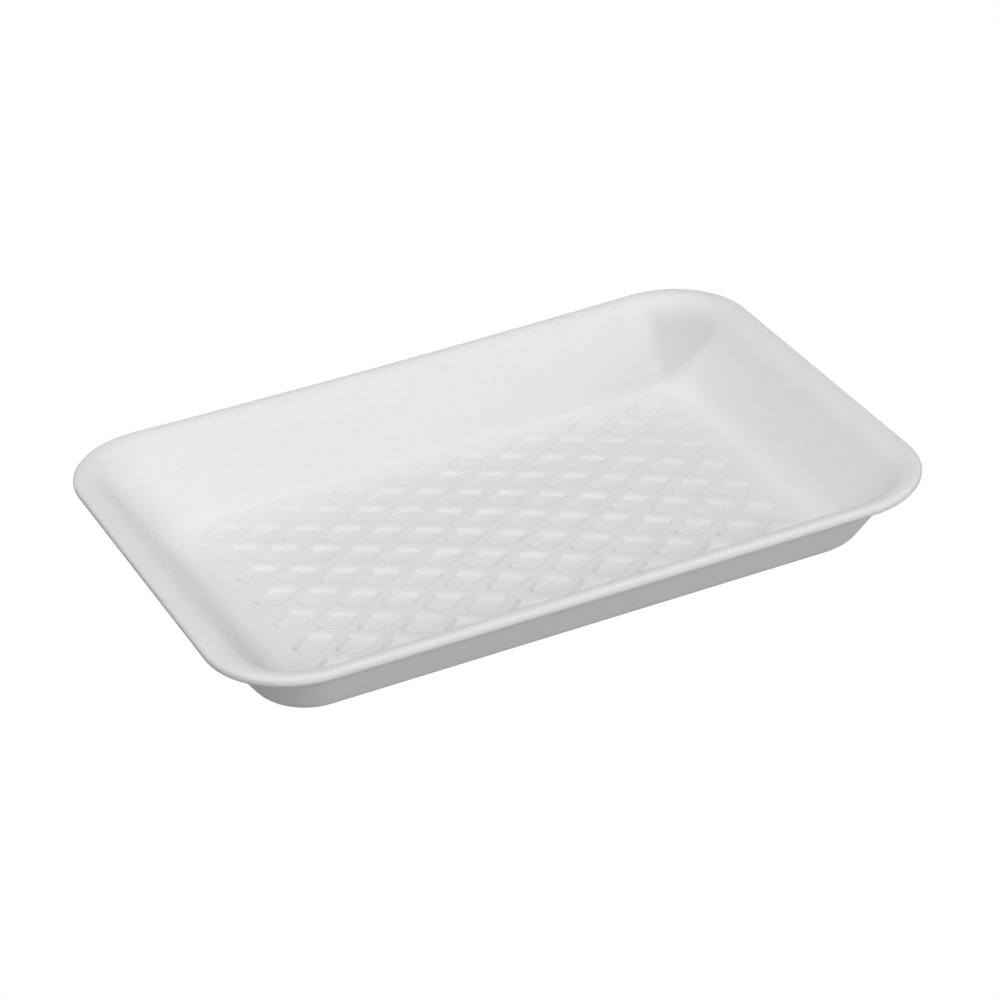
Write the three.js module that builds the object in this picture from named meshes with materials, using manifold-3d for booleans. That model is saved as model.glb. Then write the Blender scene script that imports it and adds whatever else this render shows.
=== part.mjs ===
// A shallow rectangular tray pressed from one sheet of white expanded foam, the kind fresh food is sold on.
// Millimetres. The length runs along X, the width along Y and the height along Z. The origin is on the
// ground, under the middle of the tray. The walls flare up from a flat foot band to a rim with a short lip,
// and the floor, which rises a little towards its middle, carries a lattice of shallow rhombic pockets.

import * as THREE from 'three';
import { mergeVertices } from 'three/addons/utils/BufferGeometryUtils.js';
import Module from 'manifold-3d';

// Outside size
const LENGTH = 209.6;
const WIDTH = 147.8;
const HEIGHT = 23.2;

// Floor and foot, and the same for the rim's lip, whose edge is rounded more tightly above than below
const FLOOR_THICKNESS = 2.6;
const BASE_FILLET = 9;
const EDGE_TOP_RADIUS = 1.2;
const EDGE_UNDER_RADIUS = 2;

// The walls at the ends and along the sides. The insets are measured in from the rim's outermost edge: to the
// edge of the flat floor, to the flat foot, to the top of the wall under the lip, and to where the level land
// on the rim begins to roll down into the tray.
const END_WALL = {
  floorInset: 26.5, floorFillet: 8.5, footInset: 22, neckInset: 4.4, landInset: 3.4, roll: 7.5,
};
const SIDE_WALL = {
  floorInset: 25.5, floorFillet: 5.5, footInset: 23.3, neckInset: 4.8, landInset: 1.7, roll: 5.5,
};

// Corner radii, seen from above
const RIM_CORNER = 25.6;
const FLOOR_CORNER = 6;
const NECK_CORNER = 24;
const FOOT_CORNER = 10;
const CROWN_CORNER = 12;

// Floor crown: its rise, and the half sizes of the area that rises, inside the flat foot band
const CROWN_RISE = 1.6;
const CROWN_HALF_LENGTH = 76;
const CROWN_HALF_WIDTH = 46;

// Each long rim is pulled in and down a little halfway along, and is straight again at the corners.
const SIDE_BOW = 0.65;
const SIDE_SAG = 0.65;
const FLEXED_HALF_LENGTH = 92;

// Pocket lattice: columns across the tray, every second one set half a row aside. The pockets are rhombs
// with round corners that point along X and Y, and ridges of one width run between them.
const COLUMN_PITCH = 9.57;
const ROW_PITCH = 13.58;
const COLUMNS_EACH_SIDE = 7;
const POCKETS_IN_OUTER_COLUMN = 7;
const POCKET_DEPTH = 1;
const POCKET_SLOPE_WIDTH = 1.5;
const POCKET_CORNER = 1.2;
const RIDGE_WIDTH = 2.5;

// Fineness
const FILLET_STEPS = 7;
const ROLL_STEPS = 6;
const EDGE_STEPS = 4;
const CORNER_STEPS = 9;
const LONG_SIDE_STEPS = 8;
const SHORT_SIDE_STEPS = 5;
const UNDERSIDE_RINGS = 4;
const POCKET_CORNER_STEPS = 1;
const CUTTER_HEADROOM = 1;

const FOAM_WHITE = 0xf4f4f2;
const FOAM_ROUGHNESS = 0.6;

const { degToRad, lerp, mapLinear, radToDeg } = THREE.MathUtils;

// A section of the wall is a list of points: x is the inset from the outermost edge of the rim, y the height.
// An arc's angles say where its surface faces: 0 is up, 90 is out of the tray and 180 is down. A negative
// radius makes a hollow arc, whose surface faces its own centre.
function arc(centre, radius, from, to, steps) {
  const points = [];
  for (let step = 0; step <= steps; step += 1) {
    const angle = degToRad(lerp(from, to, step / steps));
    points.push(new THREE.Vector2(centre.x - radius * Math.sin(angle), centre.y + radius * Math.cos(angle)));
  }
  return points;
}

// The steepness, in degrees, of the straight line that touches two arcs. Along its normal, the lower centre
// lies further into the tray than the upper one by the given reach.
function tangentSlope(upper, lower, reach) {
  const across = lower.x - upper.x;
  const fall = upper.y - lower.y;
  return radToDeg(Math.atan2(fall, across) + Math.asin(reach / Math.hypot(across, fall)));
}

// The inner face runs from the edge of the floor up the wall and over the rim to the underside of its lip,
// and the outer face from there down to the foot.
function wallSection({ floorInset, floorFillet, footInset, neckInset, landInset, roll }) {
  const floorCentre = new THREE.Vector2(floorInset, FLOOR_THICKNESS + floorFillet);
  const rollCentre = new THREE.Vector2(landInset, HEIGHT - roll);
  const topCentre = new THREE.Vector2(EDGE_TOP_RADIUS, HEIGHT - EDGE_TOP_RADIUS);
  const underCentre = new THREE.Vector2(EDGE_UNDER_RADIUS, HEIGHT - EDGE_TOP_RADIUS);
  const neck = new THREE.Vector2(neckInset, HEIGHT - EDGE_TOP_RADIUS - EDGE_UNDER_RADIUS);
  const baseCentre = new THREE.Vector2(footInset, BASE_FILLET);
  const innerSlope = tangentSlope(rollCentre, floorCentre, roll + floorFillet);
  const outerSlope = tangentSlope(neck, baseCentre, BASE_FILLET);

  return {
    inner: [
      ...arc(floorCentre, -floorFillet, 0, -innerSlope, FILLET_STEPS),
      ...arc(rollCentre, roll, -innerSlope, 0, ROLL_STEPS),
      ...arc(topCentre, EDGE_TOP_RADIUS, 0, 90, EDGE_STEPS),
      ...arc(underCentre, EDGE_UNDER_RADIUS, 90, 180, EDGE_STEPS).slice(1),
    ],
    outer: [neck, ...arc(baseCentre, BASE_FILLET, 180 - outerSlope, 180, FILLET_STEPS)],
  };
}

// One ring round the tray: a rectangle with round corners, whose inset and height on the ends come from
// the end wall's section and on the long sides from the side wall's. All rings have as many points.
function ring(end, side, corner) {
  const x = LENGTH / 2 - end.x - corner;
  const y = WIDTH / 2 - side.x - corner;
  const quarters = [[x, y], [-x, y], [-x, -y], [x, -y]].map(([centreX, centreY], quarter) => {
    const points = [];
    for (let step = 0; step <= CORNER_STEPS; step += 1) {
      const angle = degToRad(90 * (quarter + step / CORNER_STEPS));
      points.push(new THREE.Vector3(
        centreX + corner * Math.cos(angle),
        centreY + corner * Math.sin(angle),
        lerp(end.y, side.y, Math.sin(angle) ** 2),
      ));
    }
    return points;
  });
  return quarters.flatMap((points, quarter) => {
    const steps = quarter % 2 === 0 ? LONG_SIDE_STEPS : SHORT_SIDE_STEPS;
    const next = quarters[(quarter + 1) % quarters.length][0];
    for (let step = 1; step < steps; step += 1) {
      points.push(points[CORNER_STEPS].clone().lerp(next, step / steps));
    }
    return points;
  });
}

// Rings along one face of the wall, with a corner radius that changes evenly from its outermost inset to
// its innermost one
function faceRings(endFace, sideFace, [outermost, outerCorner], [innermost, innerCorner]) {
  return endFace.map((end, index) => ring(
    end, sideFace[index], mapLinear(end.x, outermost, innermost, outerCorner, innerCorner)));
}

// Rings across the flat underside, from the edge of the crown towards the middle
function undersideRings() {
  return Array.from({ length: UNDERSIDE_RINGS }, (_, index) => {
    const share = 1 - index / UNDERSIDE_RINGS;
    return ring(
      new THREE.Vector2(LENGTH / 2 - CROWN_HALF_LENGTH * share, 0),
      new THREE.Vector2(WIDTH / 2 - CROWN_HALF_WIDTH * share, 0),
      CROWN_CORNER * share,
    );
  });
}

// The closed sheet, with its floor and underside still flat: rings joined one to the next, from the edge
// of the floor to the middle of the underside, and a fan of triangles over each open end
function sheetGeometry() {
  const end = wallSection(END_WALL);
  const side = wallSection(SIDE_WALL);
  const { floorInset, neckInset, footInset } = END_WALL;
  const rings = [
    ...faceRings(end.inner, side.inner, [0, RIM_CORNER], [floorInset, FLOOR_CORNER]),
    ...faceRings(end.outer, side.outer, [neckInset, NECK_CORNER], [footInset, FOOT_CORNER]),
    ...undersideRings(),
  ];
  const count = rings[0].length;
  const floorMiddle = rings.length * count;
  const undersideMiddle = floorMiddle + 1;
  const points = [...rings.flat(), new THREE.Vector3(0, 0, FLOOR_THICKNESS), new THREE.Vector3()];
  const faces = [];
  for (let along = 0; along < count; along += 1) {
    const next = (along + 1) % count;
    for (let inner = 0; inner < rings.length - 1; inner += 1) {
      const start = inner * count;
      const outer = start + count;
      faces.push(start + along, outer + along, outer + next, start + along, outer + next, start + next);
    }
    const last = floorMiddle - count;
    faces.push(floorMiddle, along, next, undersideMiddle, last + next, last + along);
  }
  return new THREE.BufferGeometry().setFromPoints(points).setIndex(faces);
}

// A cutter for one pocket: a rhomb with round corners, widened by its bevel from the pocket's bottom to
// its brim, which lies at height 0
function pocketGeometry() {
  const edgeTilt = Math.atan2(ROW_PITCH / 2, COLUMN_PITCH);
  const ridgeToMiddle = COLUMN_PITCH * Math.sin(edgeTilt);
  const reach = ridgeToMiddle - RIDGE_WIDTH / 2 - POCKET_SLOPE_WIDTH - POCKET_CORNER;
  const sharp = Math.PI / 2 - edgeTilt;
  const outline = new THREE.Shape()
    .absarc(reach / Math.sin(edgeTilt), 0, POCKET_CORNER, -sharp, sharp)
    .absarc(0, reach / Math.cos(edgeTilt), POCKET_CORNER, sharp, Math.PI - sharp)
    .absarc(-reach / Math.sin(edgeTilt), 0, POCKET_CORNER, Math.PI - sharp, Math.PI + sharp)
    .absarc(0, -reach / Math.cos(edgeTilt), POCKET_CORNER, Math.PI + sharp, 2 * Math.PI - sharp);
  return new THREE.ExtrudeGeometry(outline, {
    depth: CUTTER_HEADROOM,
    curveSegments: POCKET_CORNER_STEPS,
    bevelThickness: POCKET_DEPTH,
    bevelSize: POCKET_SLOPE_WIDTH,
    bevelSegments: 1,
  });
}

// The middle of every pocket, column by column
function pocketPlaces() {
  const places = [];
  for (let column = -COLUMNS_EACH_SIDE; column <= COLUMNS_EACH_SIDE; column += 1) {
    const asOuter = (column + COLUMNS_EACH_SIDE) % 2 === 0;
    const rows = asOuter ? POCKETS_IN_OUTER_COLUMN : POCKETS_IN_OUTER_COLUMN - 1;
    for (let row = 0; row < rows; row += 1) {
      places.push([column * COLUMN_PITCH, (row - (rows - 1) / 2) * ROW_PITCH, FLOOR_THICKNESS]);
    }
  }
  return places;
}

// Bends the finished sheet: the crown lifts floor and underside together, and each long rim gives way
// inwards and down, most at its middle and not at all at the ground.
function bend(point) {
  const crown = Math.max(0, 1 - (point.x / CROWN_HALF_LENGTH) ** 2)
    * Math.max(0, 1 - (point.y / CROWN_HALF_WIDTH) ** 2);
  const give = Math.max(0, 1 - (point.x / FLEXED_HALF_LENGTH) ** 2)
    * (Math.abs(point.y) / (WIDTH / 2)) ** 4
    * (point.z / HEIGHT);
  return new THREE.Vector3(
    point.x,
    point.y - Math.sign(point.y) * SIDE_BOW * give,
    point.z + CROWN_RISE * crown - SIDE_SAG * give,
  );
}

const wasm = await Module();
wasm.setup();

function toSolid(geometry) {
  const bare = geometry.clone();
  bare.deleteAttribute('normal');
  bare.deleteAttribute('uv');
  const merged = mergeVertices(bare);
  return new wasm.Manifold(new wasm.Mesh({
    numProp: 3,
    vertProperties: merged.attributes.position.array,
    triVerts: new Uint32Array(merged.index.array),
  }));
}

function trayGeometry() {
  const cutter = toSolid(pocketGeometry());
  const pockets = wasm.Manifold.union(pocketPlaces().map((place) => cutter.translate(place)));
  const cut = toSolid(sheetGeometry()).subtract(pockets).getMesh();
  const position = new THREE.BufferAttribute(cut.vertProperties, cut.numProp);
  for (let index = 0; index < position.count; index += 1) {
    position.setXYZ(index, ...bend(new THREE.Vector3().fromBufferAttribute(position, index)));
  }
  const geometry = new THREE.BufferGeometry();
  geometry.setAttribute('position', position);
  geometry.setIndex(new THREE.BufferAttribute(cut.triVerts, 1));
  geometry.computeVertexNormals();
  return geometry;
}

const foam = new THREE.MeshStandardMaterial({ color: FOAM_WHITE, roughness: FOAM_ROUGHNESS, metalness: 0 });

const tray = new THREE.Mesh(trayGeometry(), foam);
tray.name = 'tray';

const foamTray = new THREE.Group();
foamTray.add(tray);

export default foamTray;
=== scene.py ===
"""The looks of a white foam food tray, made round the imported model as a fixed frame.

One fine closed mesh takes the place of the plain solid: a wall section swept round a rectangle with round
corners, closed by a floor grid that follows the lattice of pockets, and by an underside that rises with it.
Metres, +X along the tray, +Y away from the viewer's side and +Z up, with the origin on the ground.
"""
from math import asin, atan2, cos, degrees, hypot, radians, sin

import bpy
import numpy as np
from mathutils import Matrix, Vector


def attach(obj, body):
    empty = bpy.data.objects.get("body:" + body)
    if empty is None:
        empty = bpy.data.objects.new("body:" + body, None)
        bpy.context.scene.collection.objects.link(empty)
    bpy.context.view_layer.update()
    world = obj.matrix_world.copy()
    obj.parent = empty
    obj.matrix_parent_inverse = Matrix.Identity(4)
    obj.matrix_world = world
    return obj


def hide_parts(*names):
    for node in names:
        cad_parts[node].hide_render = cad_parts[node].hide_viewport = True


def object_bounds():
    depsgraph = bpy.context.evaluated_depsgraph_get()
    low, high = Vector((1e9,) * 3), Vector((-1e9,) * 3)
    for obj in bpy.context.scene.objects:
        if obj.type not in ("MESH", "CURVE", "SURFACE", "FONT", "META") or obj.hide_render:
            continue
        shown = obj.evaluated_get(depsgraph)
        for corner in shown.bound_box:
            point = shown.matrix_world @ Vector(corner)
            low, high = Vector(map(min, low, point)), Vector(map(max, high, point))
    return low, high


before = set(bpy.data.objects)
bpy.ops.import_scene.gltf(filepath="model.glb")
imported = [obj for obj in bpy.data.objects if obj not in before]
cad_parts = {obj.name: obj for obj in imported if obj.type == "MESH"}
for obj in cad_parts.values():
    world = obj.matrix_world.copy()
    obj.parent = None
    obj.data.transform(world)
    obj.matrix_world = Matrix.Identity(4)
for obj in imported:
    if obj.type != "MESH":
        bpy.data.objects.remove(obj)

CAD_LOW, CAD_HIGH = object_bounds()
MM = 0.001

# Outside size. The width is the tray's own, before its long rims give way a little.
LENGTH = CAD_HIGH[0] - CAD_LOW[0]
HEIGHT = CAD_HIGH[2] - CAD_LOW[2]
WIDTH = 147.8 * MM

# Walls and floor. An inset is measured in from the rim's outermost edge.
FLOOR_THICKNESS = 2.6 * MM
END_FLOOR_INSET = 26.5 * MM
SIDE_FLOOR_INSET = 25.5 * MM
END_FLOOR_FILLET = 8.5 * MM
SIDE_FLOOR_FILLET = 5.5 * MM
END_FOOT_INSET = 22 * MM
SIDE_FOOT_INSET = 23.3 * MM
BASE_FILLET = 9 * MM

# Rim: a short lip with a small radius above its outermost line and a larger one below it
EDGE_TOP_RADIUS = 1.2 * MM
EDGE_UNDER_RADIUS = 2 * MM
END_NECK_INSET = 4.4 * MM
SIDE_NECK_INSET = 4.8 * MM
END_LAND_INSET = 3.4 * MM
SIDE_LAND_INSET = 1.7 * MM
END_ROLL_RADIUS = 7.5 * MM
SIDE_ROLL_RADIUS = 5.5 * MM

# Corner radii, seen from above
RIM_CORNER = 25.6 * MM
FLOOR_CORNER = 6 * MM
NECK_CORNER = 24 * MM
FOOT_CORNER = 10 * MM
CROWN_CORNER = 12 * MM

# Floor crown, inside the flat foot band
CROWN_RISE = 1.6 * MM
CROWN_HALF_LENGTH = 76 * MM
CROWN_HALF_WIDTH = 46 * MM
CROWN_EASE = 0.1

# What each long rim gives way halfway along
SIDE_BOW = 0.65 * MM
SIDE_SAG = 0.65 * MM
FLEXED_HALF_LENGTH = 92 * MM

# The dent in the inner corner at +X +Y
DENT_PLACE = (83 * MM, 56.5 * MM)
DENT_RADIUS = 5.5 * MM
DENT_DEPTH = 1.8 * MM

# Pocket lattice: its outermost column and row, counted from the middle in pitches and half pitches
COLUMN_PITCH = 9.57 * MM
ROW_PITCH = 13.58 * MM
OUTER_COLUMN = 7
OUTER_ROW = 6
POCKET_DEPTH = 1 * MM
POCKET_SLOPE_WIDTH = 1.2 * MM
POCKET_CORNER = 0.8 * MM
RIDGE_WIDTH = 2.4 * MM

# Fineness: floor cells in a column's pitch and in half a row's, cells along each side of a corner, steps
# along the wall's section, and rings across the underside
CELLS_PER_PITCH = 14
FLOOR_CELL = np.array([COLUMN_PITCH, ROW_PITCH / 2]) / CELLS_PER_PITCH
CORNER_CELLS = (7, 10)
FILLET_STEPS = 8
WALL_STEPS = 12
WALL_CROWDING = 1.6
ROLL_STEPS = 6
EDGE_STEPS = 6
OUTSIDE_STEPS = 3
UNDERSIDE_RINGS = 6


def arc(centre, radius, start, end, steps):
    """centre + radius * (-sin a, cos a). The angle a, in degrees, says where the surface faces: 0 is up,
    90 out of the tray and 180 down. A negative radius makes a hollow arc, which faces its own centre."""
    angle = np.radians(np.linspace(start, end, steps + 1))
    return centre + radius * np.column_stack((-np.sin(angle), np.cos(angle)))


def between(start, end, steps, crowding=1):
    """Points from start to end, without those two, at the shares t^crowding: evenly spaced, or with a
    crowding over 1 closer together near the start."""
    share = np.linspace(0, 1, steps + 1)[1:-1, None] ** crowding
    return start + (end - start) * share


def tangent_slope(upper, lower, reach):
    """The steepness, in degrees, of the straight line that touches two arcs: its normal (sin a, cos a) times
    the way from the upper centre to the lower one is reach, so a is that way's own fall and the asin of
    reach over its length."""
    across, fall = lower[0] - upper[0], upper[1] - lower[1]
    return degrees(atan2(fall, across) + asin(reach / hypot(across, fall)))


def wall_section(floor_inset, floor_fillet, foot_inset, neck_inset, land_inset, roll_radius):
    """The wall's section as (inset from the rim's outermost edge, height): arcs joined by straight lines, the
    inner face from the edge of the floor over the rim, and the outer face from below the rim to the foot."""
    floor_centre = np.array([floor_inset, FLOOR_THICKNESS + floor_fillet])
    roll_centre = np.array([land_inset, HEIGHT - roll_radius])
    top_centre = np.array([EDGE_TOP_RADIUS, HEIGHT - EDGE_TOP_RADIUS])
    under_centre = np.array([EDGE_UNDER_RADIUS, HEIGHT - EDGE_TOP_RADIUS])
    neck = np.array([neck_inset, HEIGHT - EDGE_TOP_RADIUS - EDGE_UNDER_RADIUS])
    base_centre = np.array([foot_inset, BASE_FILLET])
    inner_slope = tangent_slope(roll_centre, floor_centre, roll_radius + floor_fillet)
    outer_slope = tangent_slope(neck, base_centre, BASE_FILLET)

    fillet = arc(floor_centre, -floor_fillet, 0, -inner_slope, FILLET_STEPS)
    roll = arc(roll_centre, roll_radius, -inner_slope, 0, ROLL_STEPS)
    top = arc(top_centre, EDGE_TOP_RADIUS, 0, 90, EDGE_STEPS)
    under = arc(under_centre, EDGE_UNDER_RADIUS, 90, 180, EDGE_STEPS)[1:]
    base = arc(base_centre, BASE_FILLET, 180 - outer_slope, 180, FILLET_STEPS)
    inner = np.vstack((fillet, between(fillet[-1], roll[0], WALL_STEPS, WALL_CROWDING), roll, top, under))
    outer = np.vstack((neck, between(neck, base[0], OUTSIDE_STEPS), base))
    return inner, outer


def ring_layout(cells_x, cells_y):
    """How the points of a ring are spread, anticlockwise from the start of the corner +X +Y, one for each
    cell along the edge of the floor grid: the signs of their corner's place, how far the ring has turned
    there, in quarter turns, and their share of the straight side after that corner. Half of a corner's turn
    falls on each side of the grid."""
    signs, turns, shares = [], [], []
    sides = (cells_x - 2 * CORNER_CELLS[0], cells_y - 2 * CORNER_CELLS[1])
    for quarter, sign in enumerate(((1, 1), (-1, 1), (-1, -1), (1, -1))):
        axis = quarter % 2  # of the side after this corner: 0 is X and 1 is Y
        first = np.linspace(0, 0.5, CORNER_CELLS[1 - axis], endpoint=False)
        second = np.linspace(0.5, 1, CORNER_CELLS[axis], endpoint=False)
        side = np.linspace(0, 1, sides[axis], endpoint=False)
        turn = np.concatenate((first, second, np.ones(len(side))))
        signs.append(np.tile(sign, (len(turn), 1)))
        turns.append(turn + quarter)
        shares.append(np.concatenate((np.zeros(len(turn) - len(side)), side)))
    return np.vstack(signs), np.concatenate(turns), np.concatenate(shares)


def rings(layout, end, side, corner):
    """Rectangles with round corners, one for each row of end and side: the inset and height on the end walls
    and on the long walls. A corner turns by the angle t as centre + radius * (cos t, sin t), its height goes
    from the end's to the side's with sin^2 t, and the straight sides run evenly from corner to corner. Those
    along X come after one and after three quarter turns."""
    signs, turn, share = layout
    corner = np.broadcast_to(corner, len(end))[:, None]
    centre_x = LENGTH / 2 - end[:, :1] - corner
    centre_y = WIDTH / 2 - side[:, :1] - corner
    angle = np.pi / 2 * turn
    x = signs[:, 0] * centre_x + corner * np.cos(angle)
    y = signs[:, 1] * centre_y + corner * np.sin(angle)
    along_x = turn % 2 == 1
    x = np.where(along_x, x - 2 * share * signs[:, 0] * centre_x, x)
    y = np.where(along_x, y, y - 2 * share * signs[:, 1] * centre_y)
    z = end[:, 1:] + (side[:, 1:] - end[:, 1:]) * np.sin(angle) ** 2
    return np.stack((x, y, z), axis=-1)


def wall_rings(layout):
    """The rings of the inner face, from the edge of the floor over the rim, and those of the outer face, from
    under the rim to the middle of the underside."""
    end_in, end_out = wall_section(
        END_FLOOR_INSET, END_FLOOR_FILLET, END_FOOT_INSET, END_NECK_INSET, END_LAND_INSET, END_ROLL_RADIUS)
    side_in, side_out = wall_section(
        SIDE_FLOOR_INSET, SIDE_FLOOR_FILLET, SIDE_FOOT_INSET, SIDE_NECK_INSET, SIDE_LAND_INSET,
        SIDE_ROLL_RADIUS)
    corner_in = RIM_CORNER + (FLOOR_CORNER - RIM_CORNER) * end_in[:, 0] / end_in[0, 0]
    down = (end_out[:, 0] - end_out[0, 0]) / (end_out[-1, 0] - end_out[0, 0])
    corner_out = NECK_CORNER + (FOOT_CORNER - NECK_CORNER) * down
    share = 1 - np.arange(UNDERSIDE_RINGS)[:, None] / UNDERSIDE_RINGS
    flat = np.zeros_like(share)
    end_under = np.hstack((LENGTH / 2 - CROWN_HALF_LENGTH * share, flat))
    side_under = np.hstack((WIDTH / 2 - CROWN_HALF_WIDTH * share, flat))
    outer_face = (
        rings(layout, end_out, side_out, corner_out),
        rings(layout, end_under, side_under, CROWN_CORNER * share[:, 0]),
    )
    return rings(layout, end_in, side_in, corner_in), np.concatenate(outer_face)


def floor_grid(cells_x, cells_y):
    """A grid over the lattice's rectangle, in rows from -Y. Near each corner its square is drawn in to a
    quarter disc: a point's distance from the inner corner becomes its larger coordinate, so that the edge of
    the grid is a rectangle with round corners like the rings round it."""
    half = np.array([cells_x, cells_y]) / 2 * FLOOR_CELL
    columns = np.linspace(-half[0], half[0], cells_x + 1)
    rows = np.linspace(-half[1], half[1], cells_y + 1)
    plan = np.stack(np.meshgrid(columns, rows), axis=-1)
    radius = CORNER_CELLS * FLOOR_CELL
    past = np.maximum(np.abs(plan) - (half - radius), 0) / radius
    length = np.linalg.norm(past, axis=-1)
    drawn = past * (past.max(axis=-1) / np.where(length > 0, length, 1))[..., None]
    return plan - np.sign(plan) * (past - drawn) * radius


def pocket_depth(x, y):
    """How deep the pocket lattice is pressed at each point. Every pocket is a rhomb with round corners: the
    distance from a smaller sharp rhomb to the point, less the corner radius, crosses the slope's width from
    the flat bottom to the brim, along 3t^2 - 2t^3."""
    tilt = atan2(ROW_PITCH / 2, COLUMN_PITCH)
    core = COLUMN_PITCH * sin(tilt) - RIDGE_WIDTH / 2 - POCKET_SLOPE_WIDTH - POCKET_CORNER
    tips = np.array([core / sin(tilt), core / cos(tilt)])
    column, row = nearest_pocket(x, y)
    px = np.abs(x - column * COLUMN_PITCH)
    py = np.abs(y - row * ROW_PITCH / 2)
    edge = tips * np.array([-1, 1])
    along = ((px - tips[0]) * edge[0] + py * edge[1]) / (edge @ edge)
    along = np.clip(along, 0, 1)
    away = np.hypot(px - tips[0] - along * edge[0], py - along * edge[1])
    outside = px * sin(tilt) + py * cos(tilt) > core
    climb = np.clip((np.where(outside, away, 0) - POCKET_CORNER) / POCKET_SLOPE_WIDTH, 0, 1)
    pressed = (np.abs(column) <= OUTER_COLUMN) & (np.abs(row) <= OUTER_ROW)
    return np.where(pressed, POCKET_DEPTH * (1 - climb ** 2 * (3 - 2 * climb)), 0)


def nearest_pocket(x, y):
    """The column and row of the rhombic cell each point is in. With u = x / pitch and v = y / half pitch, the
    cell lines are the diagonals where u + v or u - v is even, and u + v is odd in the middle of a cell, as it
    is in the corner one."""
    u, v = x / COLUMN_PITCH, y / (ROW_PITCH / 2)
    total = 2 * np.floor((u + v) / 2) + 1
    difference = 2 * np.floor((u - v) / 2) + 1
    return (total + difference) / 2, (total - difference) / 2


def eased(value):
    """Zero below -CROWN_EASE and the value above CROWN_EASE, joined by (value + ease)^2 / (4 * ease)."""
    bend = (np.clip(value, -CROWN_EASE, CROWN_EASE) + CROWN_EASE) ** 2 / (4 * CROWN_EASE)
    return bend + np.maximum(value - CROWN_EASE, 0)


def dent(points):
    """The dent sinks the tray's inner face by depth * exp(-(distance / radius)^2), where the distance is from
    the dent's middle and seen from above."""
    distance = np.hypot(points[..., 0] - DENT_PLACE[0], points[..., 1] - DENT_PLACE[1])
    sink = DENT_DEPTH * np.exp(-(distance / DENT_RADIUS) ** 2)
    return points - sink[..., None] * np.array([0, 0, 1])


def bend(points):
    """The crown lifts the floor and the underside together, by its rise times 1 - (x / half length)^2 and
    1 - (y / half width)^2, both eased. Each long rim gives way inwards and down, by its bow and its sag times
    1 - (x / flexed half length)^2, (y / half the tray's width)^4 and z / height: most halfway along it, and
    not at all at the ground or the corners."""
    x, y, z = points[..., 0], points[..., 1], points[..., 2]
    crown = eased(1 - (x / CROWN_HALF_LENGTH) ** 2) * eased(1 - (y / CROWN_HALF_WIDTH) ** 2)
    give = np.maximum(1 - (x / FLEXED_HALF_LENGTH) ** 2, 0) * (np.abs(y) / (WIDTH / 2)) ** 4 * (z / HEIGHT)
    return np.stack((
        x,
        y - np.sign(y) * SIDE_BOW * give,
        z + CROWN_RISE * crown - SIDE_SAG * give,
    ), axis=-1)


def grid_faces(cells_x, cells_y):
    """Two triangles for each cell, cut along the diagonal that runs with the nearest pocket's edge."""
    column, row = np.meshgrid(np.arange(cells_x), np.arange(cells_y))
    low_left = row * (cells_x + 1) + column
    low_right, top_left, top_right = low_left + 1, low_left + cells_x + 1, low_left + cells_x + 2
    middle_x = (column + 0.5 - cells_x / 2) * FLOOR_CELL[0]
    middle_y = (row + 0.5 - cells_y / 2) * FLOOR_CELL[1]
    pocket_column, pocket_row = nearest_pocket(middle_x, middle_y)
    falling = (middle_x - pocket_column * COLUMN_PITCH) * (middle_y - pocket_row * ROW_PITCH / 2) > 0
    first = np.where(falling[..., None], np.stack((low_left, low_right, top_left), -1),
                     np.stack((low_left, low_right, top_right), -1))
    second = np.where(falling[..., None], np.stack((low_right, top_right, top_left), -1),
                      np.stack((low_left, top_right, top_left), -1))
    return np.concatenate((first.reshape(-1, 3), second.reshape(-1, 3)))


def grid_edge(cells_x, cells_y):
    """The grid's edge points in the order of the rings: anticlockwise, from the start of the corner +X +Y."""
    index = np.arange((cells_x + 1) * (cells_y + 1)).reshape(cells_y + 1, cells_x + 1)
    loop = np.concatenate((index[:-1, -1], index[-1, :0:-1], index[:0:-1, 0], index[0, :-1]))
    start = cells_y - CORNER_CELLS[1]
    return np.roll(loop, -start)


def ring_faces(inner, outer):
    """Quads between two rings of point numbers, wound so that a wall that widens upwards faces inwards."""
    return np.column_stack((inner, outer, np.roll(outer, -1), np.roll(inner, -1)))


def make_tray():
    """The whole tray as one closed mesh: the floor grid, bands from its edge over each ring to the next, and
    a fan that closes the middle of the underside."""
    cells_x = 2 * (OUTER_COLUMN + 1) * CELLS_PER_PITCH
    cells_y = 2 * (OUTER_ROW + 1) * CELLS_PER_PITCH
    plan = floor_grid(cells_x, cells_y)
    depth = pocket_depth(plan[..., 0], plan[..., 1])
    floor = np.concatenate((plan, (FLOOR_THICKNESS - depth)[..., None]), axis=-1).reshape(-1, 3)
    inner_face, outer_face = wall_rings(ring_layout(cells_x, cells_y))
    walls = np.concatenate((dent(inner_face), outer_face))
    count = walls.shape[1]
    points = bend(np.concatenate((dent(floor), walls.reshape(-1, 3), [[0, 0, 0]])))

    numbers = len(floor) + np.arange(walls.shape[0] * count).reshape(-1, count)
    loops = np.vstack((grid_edge(cells_x, cells_y), numbers))
    bands = np.vstack([ring_faces(inner, outer) for inner, outer in zip(loops, loops[1:])])
    middle = np.full(count, len(points) - 1)
    fan = np.column_stack((middle, np.roll(numbers[-1], -1), numbers[-1]))
    return new_mesh("tray_foam", points, grid_faces(cells_x, cells_y), bands, fan)


def new_mesh(name, points, *face_groups):
    """A smooth-shaded object in the scene, from points and from arrays of triangles or quads."""
    mesh = bpy.data.meshes.new(name)
    faces = [face for group in face_groups for face in group.tolist()]
    mesh.from_pydata(points.tolist(), [], faces)
    mesh.shade_smooth()
    piece = bpy.data.objects.new(name, mesh)
    bpy.context.scene.collection.objects.link(piece)
    return piece


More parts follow.
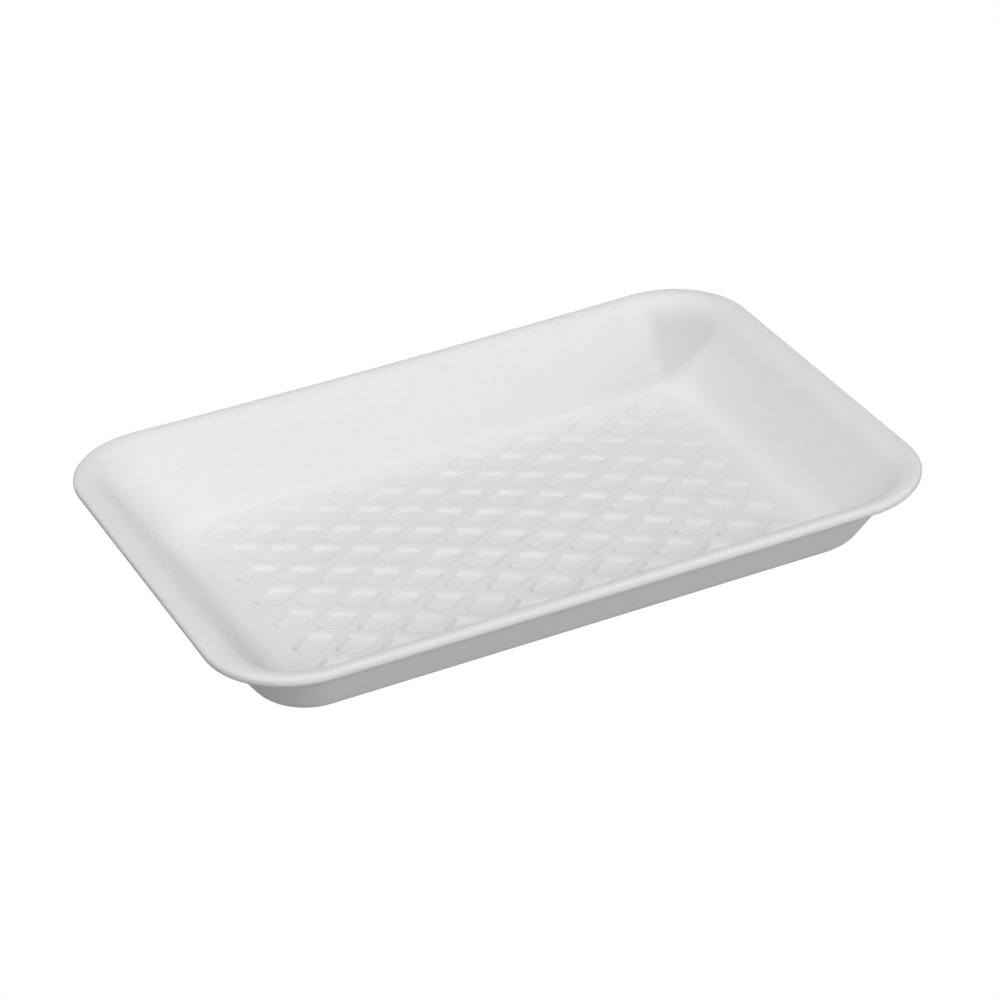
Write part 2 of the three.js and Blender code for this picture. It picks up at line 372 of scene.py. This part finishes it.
class Wire:
    """An output of a shader node. Arithmetic on a wire adds a Math node and gives that node's output."""

    def __init__(self, tree, socket=None):
        self.tree = tree
        self.socket = socket

    def node(self, kind, settings, sockets, output=0):
        """A new node's output, after its settings are made and its sockets are set or wired."""
        new = self.tree.nodes.new("ShaderNode" + kind)
        for name, value in settings.items():
            setattr(new, name, value)
        for name, value in sockets.items():
            if isinstance(value, Wire):
                self.tree.links.new(value.socket, new.inputs[name])
            else:
                new.inputs[name].default_value = value
        return Wire(self.tree, new.outputs[output] if new.outputs else None)

    def math(self, operation, first, second):
        """A Math node's output. Its two sockets share one name, so they go by number."""
        return self.node("Math", {"operation": operation}, {0: first, 1: second})

    def __add__(self, other):
        return self.math("ADD", self, other)

    def __sub__(self, other):
        return self.math("SUBTRACT", self, other)

    def __mul__(self, other):
        return self.math("MULTIPLY", self, other)

    def __rsub__(self, other):
        return self.math("SUBTRACT", other, self)

    __radd__ = __add__
    __rmul__ = __mul__


# The foam's skin: clouds and blotches in its white, each with finer octaves, and the swell of its cells
CLOUD_SIZE = 9 * MM
CLOUD_OCTAVES = 2
BLOTCH_SIZE = 2.2 * MM
BLOTCH_OCTAVES = 1
CELL_SIZE = 0.7 * MM
BLOTCH_RELIEF = 0.05 * MM
CELL_RELIEF = 0.03 * MM
FOAM_SHADE = 0.91
FOAM_LIGHT = 0.95
LEAST_ROUGHNESS = 0.5
ROUGHNESS_SPREAD = 0.2

# Painted shade in the dented corner, a grey wedge in the foam's tone: its apex seen from above, how its edges
# lean, and its top
SHADE_WEDGE_APEX = (75.6 * MM, 49.3 * MM)
SHADE_WEDGE_LEFT_LEAN = 0.2
SHADE_WEDGE_RIGHT_LEAN = 0.32
SHADE_WEDGE_EDGE_WIDTH = 6 * MM
SHADE_WEDGE_TOP = 16.5 * MM
SHADE_WEDGE_TOP_WIDTH = 6 * MM
PAINTED_CORNER_SHADE = 0.12


def ramp(value, start, end):
    """A soft step along 3t^2 - 2t^3, from 0 where the wire's value is start to 1 where it is end."""
    return value.node("MapRange", {"interpolation_type": "SMOOTHSTEP"}, {
        "Value": value, "From Min": start, "From Max": end})


def noise(place, size, octaves):
    """Soft noise from 0 to 1 with lumps of about the given size."""
    return place.node("TexNoise", {}, {"Vector": place, "Scale": 1 / size, "Detail": octaves})


def painted_corner_shade(place):
    """The mask of the painted shade in the dented corner: one in a wedge that opens from its apex towards the
    corner +X +Y, and zero outside. Its left edge runs to +Y and leans to +X, and its right edge runs to +X
    and leans to -Y. Three soft steps, over the two edges and down from the top, are multiplied."""
    x, y, z = (place.node("SeparateXYZ", {}, {"Vector": place}, axis) for axis in "XYZ")
    right = x - SHADE_WEDGE_APEX[0]
    back = y - SHADE_WEDGE_APEX[1]
    from_left_edge = right - SHADE_WEDGE_LEFT_LEAN * back
    from_right_edge = back + SHADE_WEDGE_RIGHT_LEAN * right
    return (
        ramp(from_left_edge, 0, SHADE_WEDGE_EDGE_WIDTH)
        * ramp(from_right_edge, 0, SHADE_WEDGE_EDGE_WIDTH)
        * ramp(z, SHADE_WEDGE_TOP + SHADE_WEDGE_TOP_WIDTH, SHADE_WEDGE_TOP)
    )


def foam_material():
    """White foam. Its tone goes from its darker to its lighter white with the mean of clouds and blotches,
    less the painted shade of the dented corner. Its relief, which the bump takes in metres, is the blotches
    less the cell walls, each times its own height."""
    material = bpy.data.materials.new("white_foam")
    material.use_nodes = True
    tree = material.node_tree
    tree.nodes.clear()
    place = Wire(tree).node("TexCoord", {}, {}, "Object")
    clouds = noise(place, CLOUD_SIZE, CLOUD_OCTAVES)
    blotches = noise(place, BLOTCH_SIZE, BLOTCH_OCTAVES)
    cell_walls = place.node("TexVoronoi", {"feature": "SMOOTH_F1"}, {"Vector": place, "Scale": 1 / CELL_SIZE})
    mottling = (FOAM_LIGHT - FOAM_SHADE) / 2 * (clouds + blotches)
    # The grey wedge taken off here is painted shade in the dented corner
    tone = FOAM_SHADE + mottling - PAINTED_CORNER_SHADE * painted_corner_shade(place)
    white = place.node("CombineColor", {}, {"Red": tone, "Green": tone, "Blue": tone})
    relief = BLOTCH_RELIEF * blotches - CELL_RELIEF * cell_walls
    skin = place.node("BsdfPrincipled", {}, {
        "Base Color": white,
        "Roughness": LEAST_ROUGHNESS + ROUGHNESS_SPREAD * clouds,
        "Normal": place.node("Bump", {}, {"Strength": 1, "Distance": 1, "Height": relief}),
    })
    place.node("OutputMaterial", {}, {"Surface": skin})
    return material


# The photograph's view, fitted to the tray: turned about Z, tilted, rolled and set back. The focal length
# and the picture's width are in pixels of the photograph, and the sensor's width in millimetres.
VIEW_TURN = radians(-22.83)
VIEW_TILT = radians(30.14)
VIEW_ROLL = radians(-4.36)
VIEW_SHIFT = np.array([-0.00296, 0.05297, 5.16])
FOCAL_PIXELS = 3863
PICTURE_PIXELS = 1000
SENSOR_WIDTH = 36


def place_camera():
    """The camera's own axes are right, down and forward, rolled about forward. VIEW_SHIFT is where the tray's
    origin is along them, in tray lengths."""
    back = np.array([sin(VIEW_TURN) * cos(VIEW_TILT), -cos(VIEW_TURN) * cos(VIEW_TILT), sin(VIEW_TILT)])
    right = np.cross(-back, (0, 0, 1))
    right /= np.linalg.norm(right)
    down = np.cross(-back, right)
    turned_right = cos(VIEW_ROLL) * right - sin(VIEW_ROLL) * down
    turned_down = sin(VIEW_ROLL) * right + cos(VIEW_ROLL) * down
    axes = np.array([turned_right, turned_down, -back])
    lens = bpy.data.cameras.new("camera")
    lens.sensor_width = SENSOR_WIDTH
    lens.lens = FOCAL_PIXELS / PICTURE_PIXELS * SENSOR_WIDTH
    camera = bpy.data.objects.new("camera", lens)
    bpy.context.scene.collection.objects.link(camera)
    turn = Matrix((turned_right, -turned_down, back)).transposed().to_4x4()
    camera.matrix_world = Matrix.Translation(-axes.T @ VIEW_SHIFT * LENGTH) @ turn
    bpy.context.scene.camera = camera


# The studio, in metres. The floor and the surroundings look white to the camera, but the tray gets only
# these glows from them.
WHITE = (1, 1, 1, 1)
FLOOR_HALF_WIDTH = 3
FLOOR_GLOW = 0.23
SURROUNDINGS_GLOW = 0
LAMP_WIDTH = 1.6
LAMP_DISTANCE = 2.5


def fill_white(tree, kind, output, glow):
    """Plain white for the camera, and a dimmer white, of the strength glow, for all that it shines on. The
    Mix Shader's sockets, which share a name, are its factor and its two shaders."""
    tree.nodes.clear()
    for_camera = Wire(tree).node("LightPath", {}, {}, "Is Camera Ray")
    dim = for_camera.node(kind, {}, {"Color": WHITE, "Strength": glow})
    plain = for_camera.node(kind, {}, {"Color": WHITE, "Strength": 1})
    surface = for_camera.node("MixShader", {}, {0: for_camera, 1: dim, 2: plain})
    for_camera.node(output, {}, {"Surface": surface})


def make_stage():
    """A square floor."""
    corners = FLOOR_HALF_WIDTH * np.array([(-1, -1, 0), (1, -1, 0), (1, 1, 0), (-1, 1, 0)])
    floor = new_mesh("floor", corners, np.array([(0, 1, 2, 3)]))
    material = bpy.data.materials.new("pale_floor")
    material.use_nodes = True
    fill_white(material.node_tree, "Emission", "OutputMaterial", FLOOR_GLOW)
    floor.data.materials.append(material)


def hang_lamp(name, turn, height, watts):
    """A round soft lamp that faces the tray: turn is the angle from the front towards +X, and height the
    angle above the floor, both in degrees."""
    turn, height = radians(turn), radians(height)
    way = Vector((sin(turn) * cos(height), -cos(turn) * cos(height), sin(height)))
    light = bpy.data.lights.new(name, "AREA")
    light.shape = "DISK"
    light.size = LAMP_WIDTH
    light.energy = watts
    lamp = bpy.data.objects.new(name, light)
    bpy.context.scene.collection.objects.link(lamp)
    lamp.location = way * LAMP_DISTANCE
    lamp.rotation_euler = way.to_track_quat("Z", "Y").to_euler()
    lamp.visible_camera = False


def light_studio():
    """Soft light from high behind the tray, from the front and the front left, and low from the right, the
    front and the left. Each lamp's strength is in watts."""
    world = bpy.data.worlds.new("studio")
    bpy.context.scene.world = world
    world.use_nodes = True
    fill_white(world.node_tree, "Background", "OutputWorld", SURROUNDINGS_GLOW)
    hang_lamp("high_back_lamp", turn=180, height=64, watts=30)
    hang_lamp("front_lamp", turn=0, height=38, watts=8)
    hang_lamp("front_left_lamp", turn=-45, height=38, watts=18)
    hang_lamp("low_right_lamp", turn=45, height=12, watts=22)
    hang_lamp("low_front_lamp", turn=0, height=12, watts=10)
    hang_lamp("low_left_lamp", turn=-90, height=12, watts=4)


tray = make_tray()
tray.data.materials.append(foam_material())
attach(tray, "root")
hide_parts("tray")

make_stage()
place_camera()
light_studio()
bpy.context.scene.view_settings.view_transform = "Standard"
